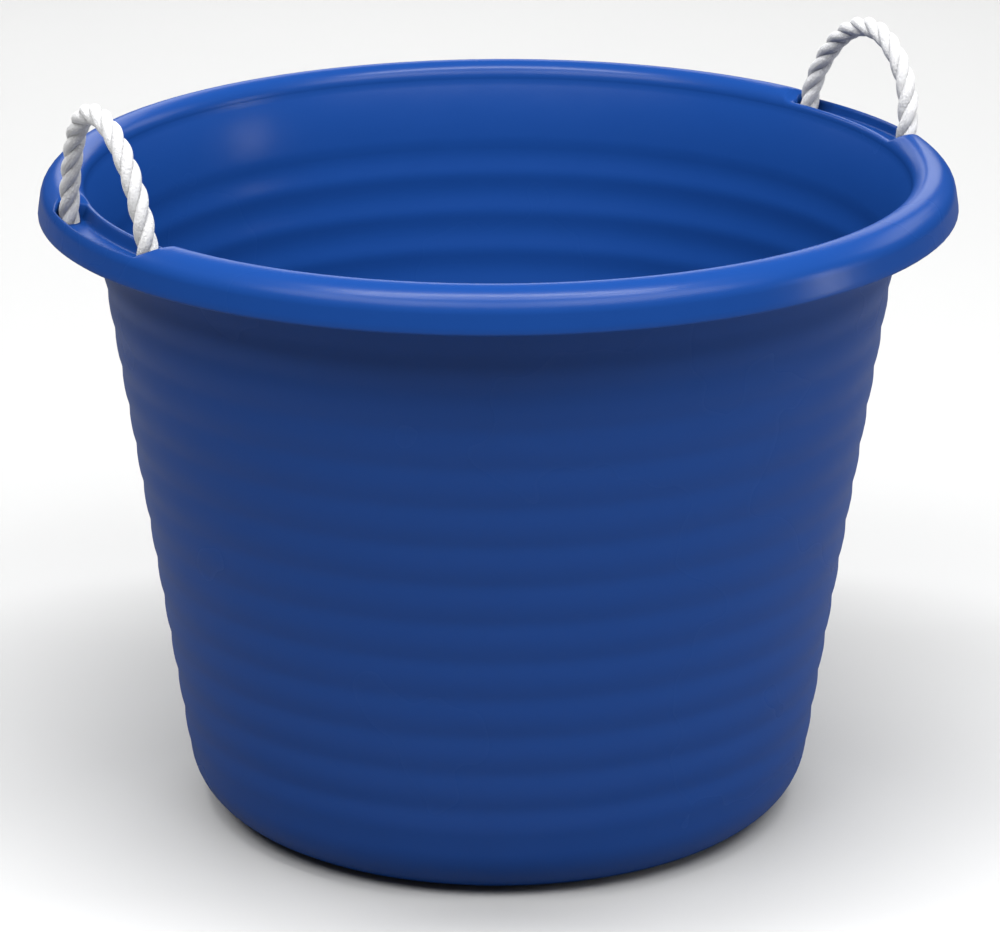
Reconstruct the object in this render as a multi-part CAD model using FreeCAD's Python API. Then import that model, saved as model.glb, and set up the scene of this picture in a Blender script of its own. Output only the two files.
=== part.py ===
import FreeCAD, Part
import os
from math import acos, atan, atan2, cos, degrees, hypot, pi, sin, tan

# A round moulded plastic feed tub with two rope carrying handles, in millimetres.
#
# Frame: origin on the ground under the tub's centre, +Z up. The two handles stand over the X axis, one
# at -X ("left") and one at +X ("right"). The side at -Y is called the front.

# ---- driving dimensions: tub -------------------------------------------------------------------
HEIGHT = 415.0
RIM_RADIUS = 285.0
WALL = 3.0
BASE_THICKNESS = 3.5
CONE_RADIUS = 193.0             # radius of the wall's cone, carried down to the ground
TAPER = 0.1486                  # radius gained for each millimetre of height
CORNER_RADIUS = 42.0            # outside, between the wall and the base
PANEL_RADIUS = 140.0            # the base's centre panel
PANEL_LIFT = 3.0                # how far that panel stands clear of the ground
PANEL_SLOPE = 6.0               # width of the sloped step round the panel

# ---- driving dimensions: ripples in the wall ---------------------------------------------------
RIPPLE_PITCH = 25.4
RIPPLE_COUNT = 13
FIRST_RIDGE = 50.8              # height of the lowest ridge
RIPPLE_DEPTH = 1.05             # ridge to valley
RIDGE_SHARE = 0.67              # part of each ripple's width taken by its rounded ridge

# ---- driving dimensions: rim -------------------------------------------------------------------
SKIRT_EDGE = 389.2              # height of the skirt's lower edge
FLARE_START = 368.0             # where the wall starts to flare into the rim

# ---- driving dimensions: the dip for each handle -----------------------------------------------
HOLE_X = 265.0
HOLE_Y = 56.5
HOLE_RADIUS = 7.2
LIP_HEIGHT = 408.0
DIP_HALF_LENGTH = 58.0          # half length of the lowered lips, along Y
DIP_END_LENGTH = 19.0           # length along Y of the slope back up to the full rim
DIP_DEPTH = 50.0                # how far in from the rim's outer edge a dip can reach
GROOVE_FLOOR = 400.0
GROOVE_HALF_WIDTH = 8.0         # at the floor
GROOVE_DRAFT = 0.1              # widening on each side for each millimetre of height
CREST_MARGIN = 0.7              # how far past the rim's crest the slopes and the groove are cut

# ---- driving dimensions: ropes -----------------------------------------------------------------
ROPE_DIAMETER = 12.7
STOP_TOP = 395.2                # top of the fused ends, when the handle stands as it is left
STOP_HEIGHT = 8.2
STOP_RADIUS = 10.0
PIVOT_HEIGHT = 414.0            # where a loop flops from, just above the lips
PIVOT_CLEARANCE = 0.5
END_STEP = 0.15                 # how far a loop's rounded ends are set in from its side
ARC_SHARE = 0.45                # part of the shorter run that each arc's tangent takes

# Routes of the two ropes: distance from the tub's axis along X, distance sideways, height.
# The sideways direction is -Y at the left handle and +Y at the right one.
LEFT_ROUTE = [
    (HOLE_X, HOLE_Y, STOP_TOP),
    (265.0, 56.8, 409.5),
    (265.8, 51.6, 427.0),
    (266.8, 42.4, 446.5),
    (268.0, 28.6, 464.0),
    (268.8, 8.2, 476.8),
    (268.8, -15.2, 476.6),
    (268.0, -33.4, 463.0),
    (266.8, -43.6, 445.0),
    (265.8, -51.2, 427.0),
    (265.0, -56.2, 409.5),
    (HOLE_X, -HOLE_Y, STOP_TOP),
]
RIGHT_ROUTE = [
    (HOLE_X, HOLE_Y, STOP_TOP),
    (265.2, 57.0, 409.0),
    (267.4, 53.2, 426.0),
    (270.2, 43.8, 443.5),
    (272.0, 28.6, 459.5),
    (273.0, 7.2, 469.6),
    (273.0, -15.8, 468.8),
    (272.0, -35.8, 457.0),
    (270.2, -49.4, 441.0),
    (267.4, -56.0, 425.0),
    (265.2, -57.2, 409.0),
    (HOLE_X, -HOLE_Y, STOP_TOP),
]

UP = FreeCAD.Vector(0, 0, 1)
CENTRE = FreeCAD.Vector(0, 0, 0)


def vector(x, y, z):
    return FreeCAD.Vector(x, y, z)


# ---- outlines ----------------------------------------------------------------------------------
class Outline:
    """A closed outline in the plane y = 0, drawn as a chain of lines and arcs of (radius, height)."""

    def __init__(self, r, z):
        self.first = vector(r, 0, z)
        self.here = self.first
        self.edges = []

    def line(self, r, z):
        end = vector(r, 0, z)
        self.edges.append(Part.LineSegment(self.here, end).toShape())
        self.here = end

    def arc(self, through, end):
        middle = vector(through[0], 0, through[1])
        last = vector(end[0], 0, end[1])
        self.edges.append(Part.Arc(self.here, middle, last).toShape())
        self.here = last

    def face(self):
        self.line(self.first.x, self.first.z)
        return Part.Face(Part.Wire(self.edges))


def turned(outline, start=0.0, sweep=360.0):
    """The solid made by turning an outline about the tub's axis."""
    face = outline.face()
    face.rotate(CENTRE, UP, start)
    return face.revolve(CENTRE, UP, sweep)


def cone_radius(z):
    return CONE_RADIUS + TAPER * z


# ---- the tub's shell ---------------------------------------------------------------------------
def corner(floor, radius, inset):
    """The fillet between a flat floor and the wall: its start, middle and end as (radius, height)."""
    lean = atan(TAPER)
    reach = radius * tan((pi / 2 - lean) / 2)
    foot = cone_radius(floor) - inset
    centre = (foot - reach, floor + radius)
    half_way = (pi / 2 + lean) / 2
    middle = (centre[0] + radius * cos(half_way), centre[1] - radius * sin(half_way))
    end = (foot + reach * sin(lean), floor + reach * cos(lean))
    return (centre[0], floor), middle, end


def ripple_arcs(inset):
    """The wall's ripples from the bottom up, as (start, middle, end) arcs of (radius, height)."""
    ridge_half = RIPPLE_PITCH / 2 * RIDGE_SHARE
    crest = RIPPLE_DEPTH / 2
    join = crest - RIPPLE_DEPTH * RIDGE_SHARE

    def place(z, offset):
        return (cone_radius(z) - inset + offset, z)

    arcs = []
    for index in range(RIPPLE_COUNT):
        ridge = FIRST_RIDGE + index * RIPPLE_PITCH
        top = place(ridge + ridge_half, join)
        arcs.append((place(ridge - ridge_half, join), place(ridge, crest), top))
        if index < RIPPLE_COUNT - 1:
            valley = ridge + RIPPLE_PITCH / 2
            next_ridge = place(ridge + RIPPLE_PITCH - ridge_half, join)
            arcs.append((top, place(valley, -crest), next_ridge))
    return arcs


def shell_outline():
    """The whole wall thickness, from the underside of the base round the rim to the inside floor."""
    shell = Outline(0, PANEL_LIFT)
    shell.line(PANEL_RADIUS, PANEL_LIFT)
    shell.line(PANEL_RADIUS + PANEL_SLOPE, 0)
    start, middle, end = corner(0, CORNER_RADIUS, 0)
    shell.line(*start)
    shell.arc(middle, end)
    ripples = ripple_arcs(0)
    shell.line(*ripples[0][0])
    for _, middle, end in ripples:
        shell.arc(middle, end)
    # the hollow under the rim
    shell.line(cone_radius(FLARE_START), FLARE_START)
    shell.arc((252.7, 387.5), (258.3, 403.6))
    shell.arc((260.9, 409.6), (267.0, 412.0))
    shell.line(270.0, 412.0)
    shell.arc((274.4, 410.4), (278.0, 406.7))
    shell.arc((281.0, 402.8), (282.0, 398.5))
    shell.line(281.3, SKIRT_EDGE)
    # the rim's outer face, shoulder, crest and inner edge
    shell.line(284.3, SKIRT_EDGE)
    shell.line(RIM_RADIUS, 398.5)
    shell.arc((283.8, 404.2), (280.4, 408.5))
    shell.arc((275.9, 413.1), (270.0, HEIGHT))
    shell.line(266.0, HEIGHT)
    shell.arc((258.5, 411.8), (255.5, 405.0))
    shell.arc((249.8, 388.0), (cone_radius(FLARE_START) - WALL, FLARE_START))
    # back down the inside
    ripples = ripple_arcs(WALL)
    shell.line(*ripples[-1][2])
    for start, middle, _ in reversed(ripples):
        shell.arc(middle, start)
    start, middle, end = corner(BASE_THICKNESS, CORNER_RADIUS - WALL, WALL)
    shell.line(*end)
    shell.arc(middle, start)
    shell.line(PANEL_RADIUS + PANEL_SLOPE, BASE_THICKNESS)
    shell.line(PANEL_RADIUS, PANEL_LIFT + BASE_THICKNESS)
    shell.line(0, PANEL_LIFT + BASE_THICKNESS)
    return shell


# ---- the dip for a handle ----------------------------------------------------------------------
def lip_face(drop):
    """The space above the lowered lips, as a face in the Y-Z plane, moved down by drop.

    At each end two equal arcs, tangent to each other, bring the lip back up to the full rim.
    """
    low = LIP_HEIGHT - drop
    rise = HEIGHT + CREST_MARGIN - LIP_HEIGHT
    bend = atan(rise / DIP_END_LENGTH)
    radius = hypot(DIP_END_LENGTH, rise) / (4 * sin(bend))
    across = radius * sin(bend)
    up = radius * (1 - cos(bend))
    above = HEIGHT + DIP_DEPTH
    end = DIP_HALF_LENGTH + DIP_END_LENGTH
    edges = []
    for side in (-1, 1):

        def point(y, z):
            return vector(0, side * y, z)

        foot = point(DIP_HALF_LENGTH, low)
        waist = point(DIP_HALF_LENGTH + DIP_END_LENGTH / 2, low + rise / 2)
        top = point(end, low + rise)
        edges.append(Part.Arc(foot, point(DIP_HALF_LENGTH + across, low + up), waist).toShape())
        edges.append(Part.Arc(waist, point(end - across, low + rise - up), top).toShape())
        edges.append(Part.LineSegment(top, point(end, above)).toShape())
    edges.append(Part.LineSegment(point(-DIP_HALF_LENGTH, low), foot).toShape())
    edges.append(Part.LineSegment(point(-end, above), point(end, above)).toShape())
    return Part.Face(Part.Wire(Part.__sortEdges__(edges)))


def above_lips(drop=0.0):
    """Everything above the lowered lips of the handle at +X."""
    face = lip_face(drop)
    face.translate(vector(RIM_RADIUS - DIP_DEPTH, 0, 0))
    return face.extrude(vector(2 * DIP_DEPTH, 0, 0))


def groove(bottom, half_width):
    """A slot that follows the rim from one rope hole to the other, with rounded ends."""
    radius = hypot(HOLE_X, HOLE_Y)
    angle = degrees(atan2(HOLE_Y, HOLE_X))
    depth = HEIGHT + CREST_MARGIN - bottom
    top_half_width = half_width + GROOVE_DRAFT * depth
    section = Outline(radius - half_width, bottom)
    section.line(radius + half_width, bottom)
    section.line(radius + top_half_width, bottom + depth)
    section.line(radius - top_half_width, bottom + depth)
    slot = turned(section, -angle, 2 * angle)
    for side in (-1, 1):
        foot = vector(HOLE_X, side * HOLE_Y, bottom)
        slot = slot.fuse(Part.makeCone(half_width, top_half_width, depth, foot, UP))
    return slot


def rim_core():
    """The rim's hollow filled in, out to the middle of its skin."""
    core = Outline(254.0, 396.0)
    core.line(257.0, 405.0)
    core.line(260.5, 410.8)
    core.line(267.0, 413.5)
    core.line(270.0, 413.5)
    core.line(275.4, 411.6)
    core.line(279.4, 407.5)
    core.line(282.5, 403.0)
    core.line(283.4, 398.0)
    core.line(283.2, 396.0)
    return turned(core)


def with_dip(shell, core):
    """The shell with the lowered lips, the groove and the two rope holes of the handle at +X."""
    cup = groove(GROOVE_FLOOR - WALL, GROOVE_HALF_WIDTH + WALL)
    skin = above_lips(WALL).fuse(cup).common(core)
    dipped = shell.fuse(skin).cut(above_lips())
    dipped = dipped.cut(groove(GROOVE_FLOOR, GROOVE_HALF_WIDTH))
    for side in (-1, 1):
        foot = vector(HOLE_X, side * HOLE_Y, GROOVE_FLOOR - 3 * WALL)
        dipped = dipped.cut(Part.makeCylinder(HOLE_RADIUS, 4 * WALL, foot, UP))
    return dipped


def tub():
    shell = turned(shell_outline())
    core = rim_core()
    for _ in range(2):
        shell = with_dip(shell, core)
        shell.rotate(CENTRE, UP, 180)
    return shell.removeSplitter()


# ---- the ropes ---------------------------------------------------------------------------------
def placed(route, side):
    """A route's points in the tub's frame: side is -1 for the left handle and 1 for the right."""
    return [vector(side * out, side * along, height) for out, along, height in route]


def rope_path(points):
    """Straight runs joined by tangent arcs, and the arcs' radii."""
    edges = []
    radii = []
    here = points[0]
    for before, at, after in zip(points, points[1:], points[2:]):
        run_in = at - before
        run_out = after - at
        back = (before - at).normalize()
        on = (after - at).normalize()
        turn = pi - acos(back.dot(on))
        reach = ARC_SHARE * min(run_in.Length, run_out.Length)
        radius = reach / tan(turn / 2)
        start = at + back * reach
        end = at + on * reach
        bisector = (back + on).normalize()
        middle = at + bisector * (radius / cos(turn / 2) - radius)
        edges.append(Part.LineSegment(here, start).toShape())
        edges.append(Part.Arc(start, middle, end).toShape())
        radii.append(radius)
        here = end
    edges.append(Part.LineSegment(here, points[-1]).toShape())
    return Part.Wire(edges), radii


def rope(name, route, side):
    """The whole rope of one handle, from one fused end to the other."""
    points = placed(route, side)
    path, radii = rope_path(points)
    ring = Part.Circle(points[0], points[1] - points[0], ROPE_DIAMETER / 2).toShape()
    tube = path.makePipeShell([Part.Wire([ring])], True, False)
    expected = pi * (ROPE_DIAMETER / 2) ** 2 * path.Length
    print(name, "length", round(path.Length, 1), "radii", [round(radius) for radius in radii])
    print(name, "volume over section times length", round(tube.Volume / expected, 4))
    return tube


def slab(low, high):
    """All the space between two heights."""
    reach = 2 * RIM_RADIUS
    return Part.makeBox(2 * reach, 2 * reach, high - low, vector(-reach, -reach, low))


def hinge_points(name, tube):
    """The middle of each leg at the height where the loop flops, front leg first."""
    middles = []
    for wire in tube.slice(UP, PIVOT_HEIGHT):
        box = wire.BoundBox
        middles.append(vector(box.Center.x, box.Center.y, PIVOT_HEIGHT))
    middles.sort(key=lambda middle: middle.y)
    print(name, "hinge points", [tuple(round(part, 2) for part in middle) for middle in middles])
    return middles


def rope_loop(tube, middles):
    """The part of the rope above the lips, with its two ends rounded about the hinge line."""
    front, back = middles
    hinge_x = (front.x + back.x) / 2
    start = vector(hinge_x, front.y - ROPE_DIAMETER, PIVOT_HEIGHT)
    length = back.y - front.y + 2 * ROPE_DIAMETER
    axle = Part.makeCylinder(ROPE_DIAMETER / 2 - END_STEP, length, start, vector(0, 1, 0))
    return tube.common(slab(PIVOT_HEIGHT, PIVOT_HEIGHT + HEIGHT).fuse(axle))


def rope_leg(tube, end):
    """The stretch of rope that passes through the hole at end = -1 (front) or 1 (back)."""
    top = PIVOT_HEIGHT - ROPE_DIAMETER / 2 - PIVOT_CLEARANCE
    legs = tube.common(slab(STOP_TOP, top))
    return [solid for solid in legs.Solids if solid.CenterOfMass.y * end > 0][0]


def rope_stop(side, end):
    """The end of a rope, melted into a smooth head too wide for its hole."""
    radius = STOP_RADIUS
    bottom = STOP_TOP - STOP_HEIGHT
    head = Outline(0, bottom)
    head.arc((radius * 0.66, bottom + STOP_HEIGHT * 0.14), (radius, bottom + STOP_HEIGHT * 0.6))
    head.arc((radius * 0.95, STOP_TOP - 1.6), (radius * 0.8, STOP_TOP))
    head.line(0, STOP_TOP)
    solid = turned(head)
    solid.translate(vector(side * HOLE_X, end * HOLE_Y, 0))
    return solid


def handle(name, route, side):
    """The nodes of one rope handle, by name."""
    tube = rope(name, route, side)
    nodes = {name + "_loop": rope_loop(tube, hinge_points(name, tube))}
    for end, where in ((-1, "front"), (1, "back")):
        nodes[name + "_leg_" + where] = rope_leg(tube, end)
        nodes[name + "_stop_" + where] = rope_stop(side, end)
    return nodes


# ---- write one file for each node --------------------------------------------------------------
def main():
    os.makedirs("parts", exist_ok=True)
    nodes = {"tub": tub()}
    nodes.update(handle("left_rope", LEFT_ROUTE, -1))
    nodes.update(handle("right_rope", RIGHT_ROUTE, 1))
    for name, shape in nodes.items():
        volume = round(shape.Volume / 1000, 1)
        print(name, "solids", len(shape.Solids), "valid", shape.isValid(), "cm3", volume)
        shape.exportStep(os.path.join("parts", name + ".step"))


main()
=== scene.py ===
from math import asin, atan, cos, hypot, pi, radians, sin, tan

import bpy
import numpy as np
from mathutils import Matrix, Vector


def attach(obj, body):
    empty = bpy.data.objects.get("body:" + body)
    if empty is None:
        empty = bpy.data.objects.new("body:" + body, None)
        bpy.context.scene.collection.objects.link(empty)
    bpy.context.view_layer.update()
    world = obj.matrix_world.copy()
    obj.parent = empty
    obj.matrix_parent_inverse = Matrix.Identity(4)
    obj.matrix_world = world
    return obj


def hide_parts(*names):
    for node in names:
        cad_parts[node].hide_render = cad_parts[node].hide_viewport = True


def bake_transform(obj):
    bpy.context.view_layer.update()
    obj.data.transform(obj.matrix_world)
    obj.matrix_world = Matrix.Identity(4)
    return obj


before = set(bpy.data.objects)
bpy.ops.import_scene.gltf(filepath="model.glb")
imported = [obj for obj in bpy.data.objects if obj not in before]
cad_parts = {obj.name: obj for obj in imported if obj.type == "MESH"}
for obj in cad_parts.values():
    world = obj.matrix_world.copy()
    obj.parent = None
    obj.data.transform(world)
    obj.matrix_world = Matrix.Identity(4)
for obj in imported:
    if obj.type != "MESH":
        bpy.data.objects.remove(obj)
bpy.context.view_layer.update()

# A round moulded feed tub with two rope handles. Its sizes are in millimetres, and MM turns them
# into metres. The view, the floor and the lights are in metres.
MM = 0.001

# ---- the tub's sizes: the CAD model's, except where it says so ---------------------------------
HEIGHT = 415.0
RIM_RADIUS = 284.9              # 0.1 less, to stay inside the CAD model's box
WALL = 3.0
BASE_THICKNESS = 3.5
CONE_RADIUS = 193.0
TAPER = 0.1486
CORNER_RADIUS = 40.5            # 1.5 less, as the photograph has it
PANEL_RADIUS = 140.0
PANEL_LIFT = 3.0
PANEL_SLOPE = 6.0
RIPPLE_PITCH = 25.4
RIPPLE_COUNT = 13
FIRST_RIDGE = 50.8
RIPPLE_DEPTH = 1.05
RIDGE_SHARE = 0.67
SKIRT_EDGE = 389.2
FLARE_START = 368.0

# ---- the dip and groove at each handle ---------------------------------------------------------
HOLE_X = 265.0
HOLE_Y = 56.5
HOLE_RADIUS = 7.2
LIP_HEIGHT = 408.0
LIP_ROUNDING = 2.0
DIP_HALF_LENGTH = 56.0          # of the lowered lips; 2.0 less than in the CAD model
DIP_END_LENGTH = 22.0           # of the slope back up; 3.0 more than there
DIP_END_RISE = 10.0             # enough to carry that slope clear of the rim's top
GROOVE_FLOOR = 400.0
GROOVE_HALF_WIDTH = 8.0
GROOVE_OUTER_SLOPE = 1.5
GROOVE_INNER_SLOPE = 4.0
GROOVE_END_RADIUS = 6.8         # round each rope, so that little gap shows
GROOVE_END_SLOPE = 0.4
GROOVE_END_HUG = 2.0            # how soon the end closes in round the rope

# ---- the rim's slight lean, in millimetres down for each millimetre from the tub's axis ---------
RIM_TILT_LEFT = 1.1 / 285.0     # towards the left of the view
RIM_TILT_FRONT = 0.8 / 285.0    # towards the front of the view
TILT_START = 250.0              # nothing leans below this height
TILT_BLEND = 140.0              # and the lean grows over this much more

# ---- the ropes ---------------------------------------------------------------------------------
ROPE_DIAMETER = 12.7
ROPE_LAY = 44.5                 # length of one full turn of a strand
STRANDS = 3
STRAND_RADIUS = 3.65
YARNS = 12                      # yarns showing round each strand
YARN_LAY = 52.0
YARN_BASE = 0.955               # a strand's radius between two yarns, as a share of STRAND_RADIUS
YARN_RELIEF = 0.055             # how far each yarn stands out from that, as the same share
POINTS_PER_YARN = 4
ROPE_STEP = 0.9                 # between a strand's rings of points
OPENED_LENGTH = 0.12            # share of the rope, from the near foot, that has opened in use
OPENED_BLEND = 0.3              # share over which it closes again
OPENED_REACH = 0.14             # how much further out its strands stand there
PATTERN_LENGTH = 20.0           # length of rope for one unit of the fibre pattern
STOP_TOP = 395.2
STOP_HEIGHT = 8.2
STOP_RADIUS = 10.0
STOP_NECK = 1.4                 # how far the head's shoulder stands below the rope's end
NECK_RADIUS = 5.0
NECK_SLOPE = 1.6                # width of the slope from the neck to the shoulder

LEFT_ROUTE = [
    (HOLE_X, HOLE_Y, STOP_TOP),
    (265.0, 56.8, 409.5),
    (265.8, 51.6, 427.0),
    (266.8, 42.4, 446.5),
    (268.0, 28.6, 464.0),
    (268.8, 8.2, 476.8),
    (268.8, -15.2, 476.6),
    (268.0, -33.4, 463.0),
    (266.8, -43.6, 445.0),
    (265.8, -51.2, 427.0),
    (265.0, -56.2, 409.5),
    (HOLE_X, -HOLE_Y, STOP_TOP),
]
RIGHT_ROUTE = [
    (HOLE_X, HOLE_Y, STOP_TOP),
    (265.2, 57.0, 409.0),
    (267.4, 53.2, 426.0),
    (270.2, 43.8, 443.5),
    (272.0, 28.6, 459.5),
    (273.0, 7.2, 469.6),
    (273.0, -15.8, 468.8),
    (272.0, -35.8, 457.0),
    (270.2, -49.4, 441.0),
    (267.4, -56.0, 425.0),
    (265.2, -57.2, 409.0),
    (HOLE_X, -HOLE_Y, STOP_TOP),
]

# ---- the view ----------------------------------------------------------------------------------
CAMERA_TURN = radians(-29.04)
CAMERA_PITCH = radians(18.67)
CAMERA_DISTANCE = 2.704
CAMERA_HEIGHT = 1.1295
CAMERA_LENS = 162.1
CAMERA_SHIFT = 0.0018


# ---- small helpers -----------------------------------------------------------------------------
def smooth_step(t):
    t = np.clip(t, 0.0, 1.0)
    return t * t * (3.0 - 2.0 * t)


def smooth_min(a, b, width):
    """The lower of two heights, with the crease between them rounded over width."""
    share = np.maximum(width - np.abs(a - b), 0.0) / width
    return np.minimum(a, b) - share * share * width / 4.0


def mesh_object(name, points, faces):
    mesh = bpy.data.meshes.new(name)
    mesh.from_pydata([tuple(p) for p in points], [], faces)
    mesh.validate()
    mesh.update()
    mesh.shade_smooth()
    obj = bpy.data.objects.new(name, mesh)
    bpy.context.scene.collection.objects.link(obj)
    return obj


# ---- camera ------------------------------------------------------------------------------------
def make_camera():
    data = bpy.data.cameras.new("camera")
    data.lens = CAMERA_LENS
    data.shift_x = CAMERA_SHIFT
    data.clip_end = 50.0
    camera = bpy.data.objects.new("camera", data)
    bpy.context.scene.collection.objects.link(camera)
    ahead = Vector((-sin(CAMERA_TURN), cos(CAMERA_TURN), 0.0))
    camera.location = -CAMERA_DISTANCE * ahead + Vector((0.0, 0.0, CAMERA_HEIGHT))
    look = ahead * cos(CAMERA_PITCH) - Vector((0.0, 0.0, sin(CAMERA_PITCH)))
    camera.rotation_euler = look.to_track_quat("-Z", "Y").to_euler()
    bpy.context.scene.camera = camera


# ---- materials ---------------------------------------------------------------------------------
class Nodes:
    """A material's node tree with its Principled shader, and short ways to add to it."""

    def __init__(self, name):
        self.material = bpy.data.materials.new(name)
        self.material.use_nodes = True
        self.tree = self.material.node_tree
        self.shader = next(n for n in self.tree.nodes if n.type == "BSDF_PRINCIPLED")

    def add(self, kind, inputs=None, **settings):
        node = self.tree.nodes.new(kind)
        for key, value in settings.items():
            setattr(node, key, value)
        for key, value in (inputs or {}).items():
            if isinstance(value, bpy.types.NodeSocket):
                self.tree.links.new(value, node.inputs[key])
            else:
                node.inputs[key].default_value = value
        return node

    def set(self, **values):
        for key, value in values.items():
            socket = self.shader.inputs[key.replace("_", " ")]
            if isinstance(value, bpy.types.NodeSocket):
                self.tree.links.new(value, socket)
            else:
                socket.default_value = value

    def noise(self, where, scale, detail=3.0):
        node = self.add("ShaderNodeTexNoise", {"Vector": where, "Scale": scale, "Detail": detail})
        return node.outputs["Fac"]

    def between(self, amount, low, high):
        inputs = {"Value": amount, "To Min": low, "To Max": high}
        return self.add("ShaderNodeMapRange", inputs).outputs["Result"]

    def mixed(self, amount, first, second):
        node = self.tree.nodes.new("ShaderNodeMix")
        node.data_type = "RGBA"
        self.tree.links.new(amount, node.inputs["Factor"])
        node.inputs[6].default_value = first
        node.inputs[7].default_value = second
        return node.outputs[2]

    def bump(self, height, distance, strength=1.0, below=None):
        inputs = {"Height": height, "Distance": distance, "Strength": strength}
        if below is not None:
            inputs["Normal"] = below
        return self.add("ShaderNodeBump", inputs).outputs["Normal"]


def tub_plastic():
    """Satin moulded polyethylene in royal blue, with faint flow marks and a very fine skin."""
    nodes = Nodes("tub_plastic")
    where = nodes.add("ShaderNodeTexCoord").outputs["Object"]
    clouds = nodes.noise(where, 6.0)
    skin = nodes.noise(where, 900.0, 2.0)
    waves = nodes.noise(where, 35.0, 1.0)
    colour = nodes.mixed(clouds, (0.0044, 0.0295, 0.140, 1.0), (0.0052, 0.0325, 0.150, 1.0))
    nodes.set(Base_Color=colour, Roughness=0.5, Specular_IOR_Level=0.0)
    nodes.set(Coat_Weight=0.2, Coat_Roughness=nodes.between(clouds, 0.24, 0.30))
    coarse = nodes.bump(waves, 0.00025)
    surface = nodes.bump(skin, 0.00003, below=coarse)
    nodes.set(Normal=surface, Coat_Normal=surface)
    return nodes.material


def rope_fibre():
    """White synthetic fibre: fine streaks along the yarns and a soft sheen."""
    nodes = Nodes("rope_fibre")
    along = nodes.add("ShaderNodeUVMap", uv_map="yarn").outputs["UV"]
    stretch = nodes.add("ShaderNodeMapping", {"Vector": along, "Scale": (60.0, 9.0, 1.0)})
    streaks = nodes.noise(stretch.outputs["Vector"], 4.0, 4.0)
    where = nodes.add("ShaderNodeTexCoord").outputs["Object"]
    fuzz = nodes.noise(where, 650.0, 2.0)
    colour = nodes.mixed(fuzz, (0.34, 0.34, 0.352, 1.0), (0.48, 0.48, 0.48, 1.0))
    nodes.set(Base_Color=colour, Roughness=0.7, Specular_IOR_Level=0.2)
    nodes.set(Subsurface_Weight=0.6, Subsurface_Radius=(1.0, 1.0, 1.0), Subsurface_Scale=0.003)
    coarse = nodes.bump(fuzz, 0.0009)
    nodes.set(Normal=nodes.bump(streaks, 0.0003, below=coarse))
    return nodes.material


def melted_fibre():
    """The same fibre melted into a smooth, slightly yellowed head."""
    nodes = Nodes("melted_fibre")
    where = nodes.add("ShaderNodeTexCoord").outputs["Object"]
    clouds = nodes.noise(where, 180.0)
    nodes.set(Base_Color=nodes.mixed(clouds, (0.62, 0.58, 0.48, 1.0), (0.78, 0.76, 0.70, 1.0)))
    nodes.set(Roughness=nodes.between(clouds, 0.25, 0.45), Normal=nodes.bump(clouds, 0.0006))
    return nodes.material


def floor_paint():
    """Plain matt paint, very faintly uneven."""
    nodes = Nodes("floor_paint")
    where = nodes.add("ShaderNodeTexCoord").outputs["Object"]
    clouds = nodes.noise(where, 2.0)
    nodes.set(Base_Color=nodes.mixed(clouds, (0.35, 0.35, 0.35, 1.0), (0.36, 0.36, 0.36, 1.0)))
    nodes.set(Roughness=0.9, Specular_IOR_Level=0.1)
    return nodes.material


# ---- ropes -------------------------------------------------------------------------------------
def route_line(name, route, side):
    """Points along the smooth curve that a rope follows, in metres."""
    curve = bpy.data.curves.new(name, "CURVE")
    curve.dimensions = "3D"
    spline = curve.splines.new("NURBS")
    spline.points.add(len(route) - 1)
    for point, (out, along, height) in zip(spline.points, route):
        point.co = (side * out * MM, side * along * MM, height * MM, 1.0)
    spline.order_u = 3
    spline.use_endpoint_u = True
    spline.resolution_u = 24
    guide = bpy.data.objects.new(name, curve)
    mesh = bpy.data.meshes.new_from_object(guide)
    line = np.array([tuple(v.co) for v in mesh.vertices])
    bpy.data.meshes.remove(mesh)
    bpy.data.objects.remove(guide)
    bpy.data.curves.remove(curve)
    return line


def evenly(line, step):
    """The same line with its points a step apart, and each point's distance along it."""
    gaps = np.linalg.norm(np.diff(line, axis=0), axis=1)
    along = np.concatenate([[0.0], np.cumsum(gaps)])
    count = int(round(along[-1] / step)) + 1
    places = np.linspace(0.0, along[-1], count)
    points = np.stack([np.interp(places, along, line[:, axis]) for axis in range(3)], axis=1)
    return points, places


def carried_frames(points):
    """Two directions across the line at each point, carried along it without twisting."""
    tangents = np.gradient(points, axis=0)
    tangents /= np.linalg.norm(tangents, axis=1)[:, None]
    first = np.cross(tangents[0], (1.0, 0.0, 0.0))
    across = []
    for tangent in tangents:
        first = first - tangent * np.dot(first, tangent)
        first /= np.linalg.norm(first)
        across.append(first.copy())
    across = np.array(across)
    return across, np.cross(tangents, across)


def strand_line(centre, along, first, second, start_turn, reach):
    """The middle line of one strand, which winds round the rope's centre line."""
    angle = 2 * pi * along / (ROPE_LAY * MM) + start_turn
    across = (reach * np.cos(angle))[:, None] * first
    return centre + across + (reach * np.sin(angle))[:, None] * second


def strand_points(middle, centre, yarn_turn):
    """Rings of points round a strand's middle line, with its yarns standing out a little."""
    run = np.gradient(middle, axis=0)
    run /= np.linalg.norm(run, axis=1)[:, None]
    outward = middle - centre
    outward -= run * np.sum(outward * run, axis=1)[:, None]
    outward /= np.linalg.norm(outward, axis=1)[:, None]
    sideways = np.cross(run, outward)
    ring = YARNS * POINTS_PER_YARN
    turns = np.arange(ring) * 2 * pi / ring
    lobes = np.abs(np.sin(YARNS / 2 * (turns - yarn_turn[:, None])))
    radius = STRAND_RADIUS * MM * (YARN_BASE + YARN_RELIEF * lobes)
    spots = middle[:, None] + (radius * np.cos(turns))[:, :, None] * outward[:, None]
    spots = spots + (radius * np.sin(turns))[:, :, None] * sideways[:, None]
    return spots.reshape(-1, 3)


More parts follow.
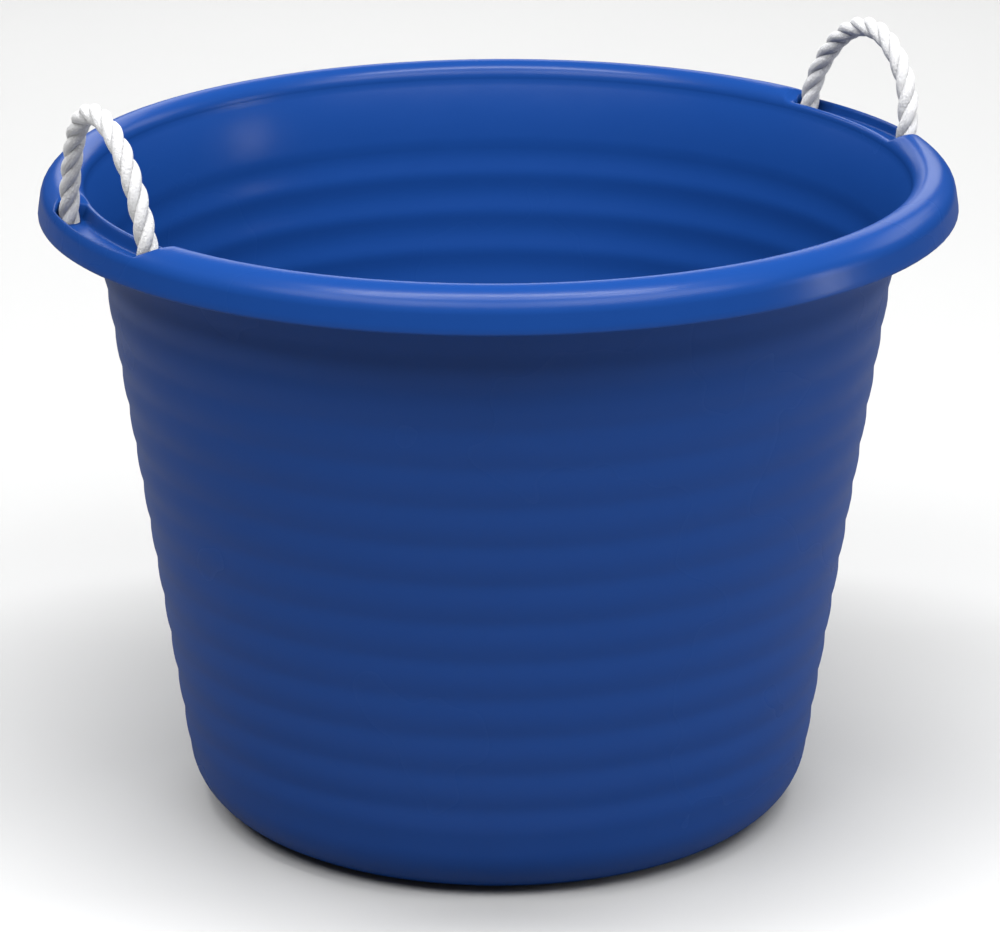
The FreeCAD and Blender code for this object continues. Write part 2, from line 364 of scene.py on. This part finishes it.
def strand_faces(base, along, yarn_turn):
    """A strand's faces and their places in the fibre pattern, with both ends closed."""
    ring = YARNS * POINTS_PER_YARN
    rows = len(along)
    pattern = along / MM / PATTERN_LENGTH
    faces, uvs = [], []
    for row in range(rows - 1):
        for j in range(ring):
            k = (j + 1) % ring
            a = base + row * ring
            faces.append((a + j, a + k, a + ring + k, a + ring + j))
            for at, column in ((row, j), (row, j + 1), (row + 1, j + 1), (row + 1, j)):
                uvs.append((column / ring - yarn_turn[at] / (2 * pi), pattern[at]))
    last = base + (rows - 1) * ring
    faces.append(tuple(base + j for j in reversed(range(ring))))
    uvs.extend([(j / ring, 0.0) for j in range(ring)])
    faces.append(tuple(last + j for j in range(ring)))
    uvs.extend([(j / ring, pattern[-1]) for j in range(ring)])
    return faces, uvs


def make_rope(name, route, side, near_end_first, material):
    """Three twisted strands on the rope's route. The rope's near leg has opened a little in use."""
    line = route_line(name, route, side)
    centre, along = evenly(line, ROPE_STEP * MM)
    first, second = carried_frames(centre)
    length = along[-1]
    from_near = along if near_end_first else length - along
    opened = 1.0 - smooth_step((from_near / length - OPENED_LENGTH) / OPENED_BLEND)
    reach = (ROPE_DIAMETER / 2 - STRAND_RADIUS) * MM * (1.0 + OPENED_REACH * opened)
    yarn_turn = -2 * pi * along / (YARN_LAY * MM)
    points, faces, uvs = [], [], []
    for strand in range(STRANDS):
        middle = strand_line(centre, along, first, second, strand * 2 * pi / STRANDS, reach)
        more_faces, more_uvs = strand_faces(len(points), along, yarn_turn)
        points.extend(strand_points(middle, centre, yarn_turn))
        faces.extend(more_faces)
        uvs.extend(more_uvs)
    rope = mesh_object(name, points, faces)
    layer = rope.data.uv_layers.new(name="yarn")
    layer.data.foreach_set("uv", np.array(uvs, np.float32).ravel())
    rope.data.materials.append(material)
    return rope, line, length


def stop_spot(side, end, slope, turn):
    """One point of a melted rope end. slope goes from 0 at its top to pi at its bottom."""
    uneven = 1.0 + 0.03 * sin(3 * turn + side) * sin(slope) + 0.02 * sin(5 * turn + end)
    full_radius = STOP_RADIUS - 0.6
    roundness = min(1.0, 1.12 * sin(slope) ** 0.6)
    radius = min(full_radius * roundness * uneven, STOP_RADIUS - 0.2)
    height = STOP_TOP - STOP_HEIGHT / 2 * (1.0 - cos(slope)) - 0.2 * sin(slope) ** 2
    past_neck = smooth_step((radius - NECK_RADIUS) / NECK_SLOPE)
    height -= STOP_NECK * past_neck * (1.0 + cos(slope)) / 2
    return side * HOLE_X + radius * cos(turn), end * HOLE_Y + radius * sin(turn), height


def make_stop(name, side, end, material):
    """One melted rope end: a squat, slightly uneven button under its hole."""
    rings, around = 18, 40
    points, faces = [], []
    for row in range(rings + 1):
        for column in range(around):
            spot = stop_spot(side, end, pi * row / rings, 2 * pi * column / around)
            points.append(tuple(value * MM for value in spot))
    for row in range(rings):
        for column in range(around):
            after = (column + 1) % around
            a, b = row * around, (row + 1) * around
            faces.append((a + column, b + column, b + after, a + after))
    stop = mesh_object(name, points, faces)
    stop.data.materials.append(material)
    return stop


def make_handle(name, route, side, near_end_first, fibre, melted):
    rope, line, length = make_rope(name + "_strands", route, side, near_end_first, fibre)
    legs = [name + "_leg_front", name + "_leg_back"]
    for end, where in ((-1, "front"), (1, "back")):
        stop = make_stop(name + "_melted_end_" + where, side, end, melted)
        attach(stop, name + "_ends")
        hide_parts(name + "_stop_" + where)
    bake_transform(rope)
    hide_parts(name + "_loop", *legs)


# ---- the tub's section -------------------------------------------------------------------------
def arc(start, through, end, steps):
    """Points on the circle from start through a point to end, leaving out start itself."""
    a, b, c = (np.array(p, float) for p in (start, through, end))
    ab, ac = b - a, c - a
    cross = 2.0 * (ab[0] * ac[1] - ab[1] * ac[0])
    centre = a + np.array(
        [
            (ac[1] * ab.dot(ab) - ab[1] * ac.dot(ac)) / cross,
            (ab[0] * ac.dot(ac) - ac[0] * ab.dot(ab)) / cross,
        ]
    )
    radius = np.linalg.norm(a - centre)
    first = np.arctan2(*(a - centre)[::-1])
    sweep = 2.0 * asin(min(1.0, np.linalg.norm(ac) / (2.0 * radius)))
    angles = first + np.linspace(0.0, sweep if cross > 0 else -sweep, steps + 1)[1:]
    return [tuple(centre + radius * np.array([cos(t), sin(t)])) for t in angles]


def straight(start, end, steps):
    return [tuple(np.array(start) + (np.array(end) - start) * k / steps) for k in range(1, steps + 1)]


def cone_radius(z):
    return CONE_RADIUS + TAPER * z


def corner(floor, radius, inset):
    """Start, middle and end of the round corner between a floor and the wall."""
    lean = atan(TAPER)
    reach = radius * tan((pi / 2 - lean) / 2)
    foot = cone_radius(floor) - inset
    centre = (foot - reach, floor + radius)
    half_way = (pi / 2 + lean) / 2
    middle = (centre[0] + radius * cos(half_way), centre[1] - radius * sin(half_way))
    end = (foot + reach * sin(lean), floor + reach * cos(lean))
    return (centre[0], floor), middle, end


def ripples(inset):
    """The rippled part of the wall, from the bottom up."""
    ridge_half = RIPPLE_PITCH / 2 * RIDGE_SHARE
    crest = RIPPLE_DEPTH / 2
    join = crest - RIPPLE_DEPTH * RIDGE_SHARE

    def place(z, offset):
        return (cone_radius(z) - inset + offset, z)

    points = [place(FIRST_RIDGE - ridge_half, join)]
    for index in range(RIPPLE_COUNT):
        ridge = FIRST_RIDGE + index * RIPPLE_PITCH
        points += arc(points[-1], place(ridge, crest), place(ridge + ridge_half, join), 4)
        if index < RIPPLE_COUNT - 1:
            valley = place(ridge + RIPPLE_PITCH / 2, -crest)
            points += arc(points[-1], valley, place(ridge + RIPPLE_PITCH - ridge_half, join), 3)
    return points


def outside_section():
    """From under the base up the outside of the wall, as far as the rim's hollow."""
    points = [(4.0, PANEL_LIFT)]
    points += straight(points[-1], (PANEL_RADIUS, PANEL_LIFT), 2)
    points += straight(points[-1], (PANEL_RADIUS + PANEL_SLOPE, 0.0), 3)
    start, middle, end = corner(0.0, CORNER_RADIUS, 0.0)
    points += straight(points[-1], start, 2)
    points += arc(points[-1], middle, end, 12)
    points += ripples(0.0)
    points.append((cone_radius(FLARE_START), FLARE_START))
    return points


def roof_section(start):
    """Up inside the rim's hollow, over its roof and down to the skirt's edge."""
    points = arc(start, (252.7, 387.5), (258.3, 403.6), 6)
    points += arc(points[-1], (260.9, 409.6), (267.0, 412.0), 6)
    points += straight(points[-1], (270.0, 412.0), 3)
    points += arc(points[-1], (274.4, 410.4), (278.0, 406.7), 5)
    points += arc(points[-1], (281.0, 402.8), (282.0, 398.5), 4)
    points += straight(points[-1], (281.3, SKIRT_EDGE + 1.0), 3)
    return points


def top_section(start):
    """Round the skirt's edge, up its face and over the rim, down to where the wall flares. The rim's
    outer shoulder is leaner than the CAD model's."""
    points = arc(start, (281.7, SKIRT_EDGE + 0.3), (282.4, SKIRT_EDGE), 3)
    points += straight(points[-1], (283.4, SKIRT_EDGE), 1)
    points += arc(points[-1], (284.5, SKIRT_EDGE + 0.5), (RIM_RADIUS, SKIRT_EDGE + 1.7), 4)
    points += straight(points[-1], (283.3, 400.8), 3)
    points += arc(points[-1], (281.7, 405.8), (278.4, 409.9), 16)
    points += arc(points[-1], (273.6, 413.3), (267.5, HEIGHT), 18)
    points += arc(points[-1], (259.2, 411.6), (255.8, 404.0), 26)
    points += arc(points[-1], (249.8, 388.0), (cone_radius(FLARE_START) - WALL, FLARE_START), 9)
    return points


def inside_section():
    """Down the inside of the wall to the middle of the floor."""
    points = list(reversed(ripples(WALL)))
    start, middle, end = corner(BASE_THICKNESS, CORNER_RADIUS - WALL, WALL)
    points.append(end)
    points += arc(points[-1], middle, start, 12)
    points += straight(points[-1], (PANEL_RADIUS + PANEL_SLOPE, BASE_THICKNESS), 2)
    points += straight(points[-1], (PANEL_RADIUS, PANEL_LIFT + BASE_THICKNESS), 3)
    points += straight(points[-1], (4.0, PANEL_LIFT + BASE_THICKNESS), 3)
    return points


def columns():
    """The directions of the section's copies: close together at the groove's round ends."""
    hole = np.degrees(np.arctan2(HOLE_Y, HOLE_X))
    round_end_start = hole - 1.0
    round_end_stop = hole + 2.6
    dip_stop = 20.0
    quarter = np.concatenate(
        [
            np.linspace(0.0, round_end_start, 8, endpoint=False),
            np.linspace(round_end_start, round_end_stop, 34, endpoint=False),
            np.linspace(round_end_stop, dip_stop, 6, endpoint=False),
            np.linspace(dip_stop, 90.0, 22, endpoint=False),
        ]
    )
    half = np.concatenate([quarter, 180.0 - np.append(quarter[1:], 90.0)[::-1]])
    return np.radians(np.concatenate([half, half + 180.0]))


def dipped(r, z, turn, drop):
    """Heights over the rim once the dips and grooves are pressed in. drop lowers the whole press."""
    near = (turn + pi / 2) % pi - pi / 2
    x, y = r * np.cos(near), np.abs(r * np.sin(near))
    hole_radius = hypot(HOLE_X, HOLE_Y)
    hole_turn = np.arctan2(HOLE_Y, HOLE_X)
    lip = LIP_HEIGHT - drop + DIP_END_RISE * smooth_step((y - DIP_HALF_LENGTH) / DIP_END_LENGTH)
    z = smooth_min(z, lip + LIP_ROUNDING / 4.0, LIP_ROUNDING)
    inside_groove = np.abs(near) < hole_turn
    away = np.where(inside_groove, np.abs(r - hole_radius), np.hypot(x - HOLE_X, y - HOLE_Y))
    endwise = np.clip(GROOVE_END_HUG * (y - HOLE_Y) / np.maximum(away, 1.0), 0.0, 1.0)
    endwise = np.where(inside_groove, 0.0, endwise)
    half_width = GROOVE_HALF_WIDTH + (GROOVE_END_RADIUS - GROOVE_HALF_WIDTH) * endwise
    slope = np.where(r < hole_radius, GROOVE_INNER_SLOPE, GROOVE_OUTER_SLOPE)
    slope = slope + (GROOVE_END_SLOPE - slope) * endwise
    rise = smooth_step((away - half_width - drop) / slope)
    floor = GROOVE_FLOOR - drop
    pressed = floor + (np.maximum(z, floor) - floor) * rise
    return np.minimum(z, pressed)


def leaning(x, y, z):
    """Heights once the rim's lean is added."""
    leftward = -(x * cos(CAMERA_TURN) + y * sin(CAMERA_TURN))
    frontward = x * sin(CAMERA_TURN) - y * cos(CAMERA_TURN)
    lean = RIM_TILT_LEFT * leftward + RIM_TILT_FRONT * frontward
    return z - lean * smooth_step((z - TILT_START) / TILT_BLEND)


def tub_grid(turns):
    """The section's points, from under the base to the inside floor, repeated in each direction."""
    outside = outside_section()
    roof = roof_section(outside[-1])
    top = top_section(roof[-1])
    section = np.array(outside + roof + top + inside_section())
    shape = (len(section), len(turns))
    r = np.repeat(section[:, 0], len(turns)).reshape(shape)
    z = np.repeat(section[:, 1], len(turns)).reshape(shape)
    turn = np.tile(turns, (len(section), 1))
    first_roof = len(outside)
    first_top = first_roof + len(roof)
    last_top = first_top + len(top)
    z[first_roof:first_top] = dipped(r, z, turn, WALL)[first_roof:first_top]
    z[first_top:last_top] = dipped(r, z, turn, 0.0)[first_top:last_top]
    x, y = r * np.cos(turn), r * np.sin(turn)
    return np.stack([x, y, leaning(x, y, z)], axis=2) * MM


def make_tub(material):
    grid = tub_grid(columns())
    rows, around = grid.shape[:2]
    points = [tuple(p) for p in grid.reshape(-1, 3)]
    points.append((0.0, 0.0, grid[0, 0, 2]))
    points.append((0.0, 0.0, grid[-1, 0, 2]))
    under, over = len(points) - 2, len(points) - 1
    last = (rows - 1) * around
    faces = []
    for row in range(rows - 1):
        for column in range(around):
            after = (column + 1) % around
            a, b = row * around, (row + 1) * around
            faces.append((a + column, a + after, b + after, b + column))
    for column in range(around):
        after = (column + 1) % around
        faces.append((under, after, column))
        faces.append((over, last + column, last + after))
    tub = mesh_object("tub_shell", points, faces)
    drill_holes(tub)
    tub.data.materials.append(material)
    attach(tub, "tub")
    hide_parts("tub")


def drill_holes(tub):
    """Cuts the four rope holes through the grooves' floors."""
    around = 64
    points, faces = [], []
    for side in (-1, 1):
        for end in (-1, 1):
            base = len(points)
            for height in (GROOVE_FLOOR - 2 * WALL, GROOVE_FLOOR + WALL):
                for k in range(around):
                    turn = 2 * pi * k / around
                    x = side * HOLE_X + HOLE_RADIUS * cos(turn)
                    y = end * HOLE_Y + HOLE_RADIUS * sin(turn)
                    points.append((x * MM, y * MM, height * MM))
            for k in range(around):
                after = (k + 1) % around
                faces.append((base + k, base + after, base + around + after, base + around + k))
            faces.append(tuple(base + k for k in reversed(range(around))))
            faces.append(tuple(base + around + k for k in range(around)))
    drill = mesh_object("drill", points, faces)
    cut = tub.modifiers.new("rope_holes", "BOOLEAN")
    cut.operation = "DIFFERENCE"
    cut.solver = "EXACT"
    cut.object = drill
    bpy.context.view_layer.update()
    done = bpy.data.meshes.new_from_object(tub.evaluated_get(bpy.context.evaluated_depsgraph_get()))
    tub.modifiers.clear()
    tub.data = done
    bpy.data.objects.remove(drill)


# ---- floor and light ---------------------------------------------------------------------------
def make_floor(material):
    reach = 30.0                    # far past the view's edges
    corners = [(-reach, -reach, 0.0), (reach, -reach, 0.0), (reach, reach, 0.0), (-reach, reach, 0.0)]
    floor = mesh_object("floor", corners, [(0, 1, 2, 3)])
    floor.data.materials.append(material)


def make_world():
    """A faint even light from all sides."""
    world = bpy.data.worlds.new("studio")
    bpy.context.scene.world = world
    world.use_nodes = True
    sky = next(n for n in world.node_tree.nodes if n.type == "BACKGROUND")
    sky.inputs["Color"].default_value = (1.0, 1.0, 1.0, 1.0)
    sky.inputs["Strength"].default_value = 0.12


LIGHT_AIM_HEIGHT = 0.25


def soft_light(name, turn, pitch, distance, width, height, power):
    """A soft rectangular light aimed at the tub. turn is from the camera, anticlockwise from above."""
    data = bpy.data.lights.new(name, "AREA")
    data.shape = "RECTANGLE"
    data.size = width
    data.size_y = height
    data.energy = power
    light = bpy.data.objects.new(name, data)
    bpy.context.scene.collection.objects.link(light)
    flat = CAMERA_TURN + radians(turn)
    rise = radians(pitch)
    toward = Vector((sin(flat) * cos(rise), -cos(flat) * cos(rise), sin(rise)))
    aim = Vector((0.0, 0.0, LIGHT_AIM_HEIGHT))
    light.location = aim + toward * distance
    light.rotation_euler = (-toward).to_track_quat("-Z", "Y").to_euler()


LIGHTS = [
    # name, turn and pitch in degrees, distance, width and height in metres, power in watts
    ("front_key", 0.0, 48.0, 3.0, 1.6, 1.1, 38.0),
    ("right_key", 42.0, 48.0, 3.0, 1.8, 1.1, 64.0),
    ("left_key", -42.0, 48.0, 3.0, 1.8, 1.1, 58.0),
    ("overhead", 0.0, 80.0, 3.0, 2.6, 0.22, 165.0),
    ("right_strip", 82.0, 6.0, 2.5, 0.3, 1.2, 22.0),
    ("back_high", 180.0, 24.0, 3.0, 2.5, 1.4, 60.0),
    ("back_right", 128.0, 28.0, 3.0, 1.4, 0.7, 18.0),
    ("back_left", -128.0, 28.0, 3.0, 1.4, 0.7, 26.0),
]


def main():
    bpy.context.scene.view_settings.view_transform = "Standard"
    make_camera()
    fibre = rope_fibre()
    melted = melted_fibre()
    make_handle("left_rope", LEFT_ROUTE, -1, True, fibre, melted)
    make_handle("right_rope", RIGHT_ROUTE, 1, False, fibre, melted)
    make_tub(tub_plastic())
    make_floor(floor_paint())
    make_world()
    for light in LIGHTS:
        soft_light(*light)


main()
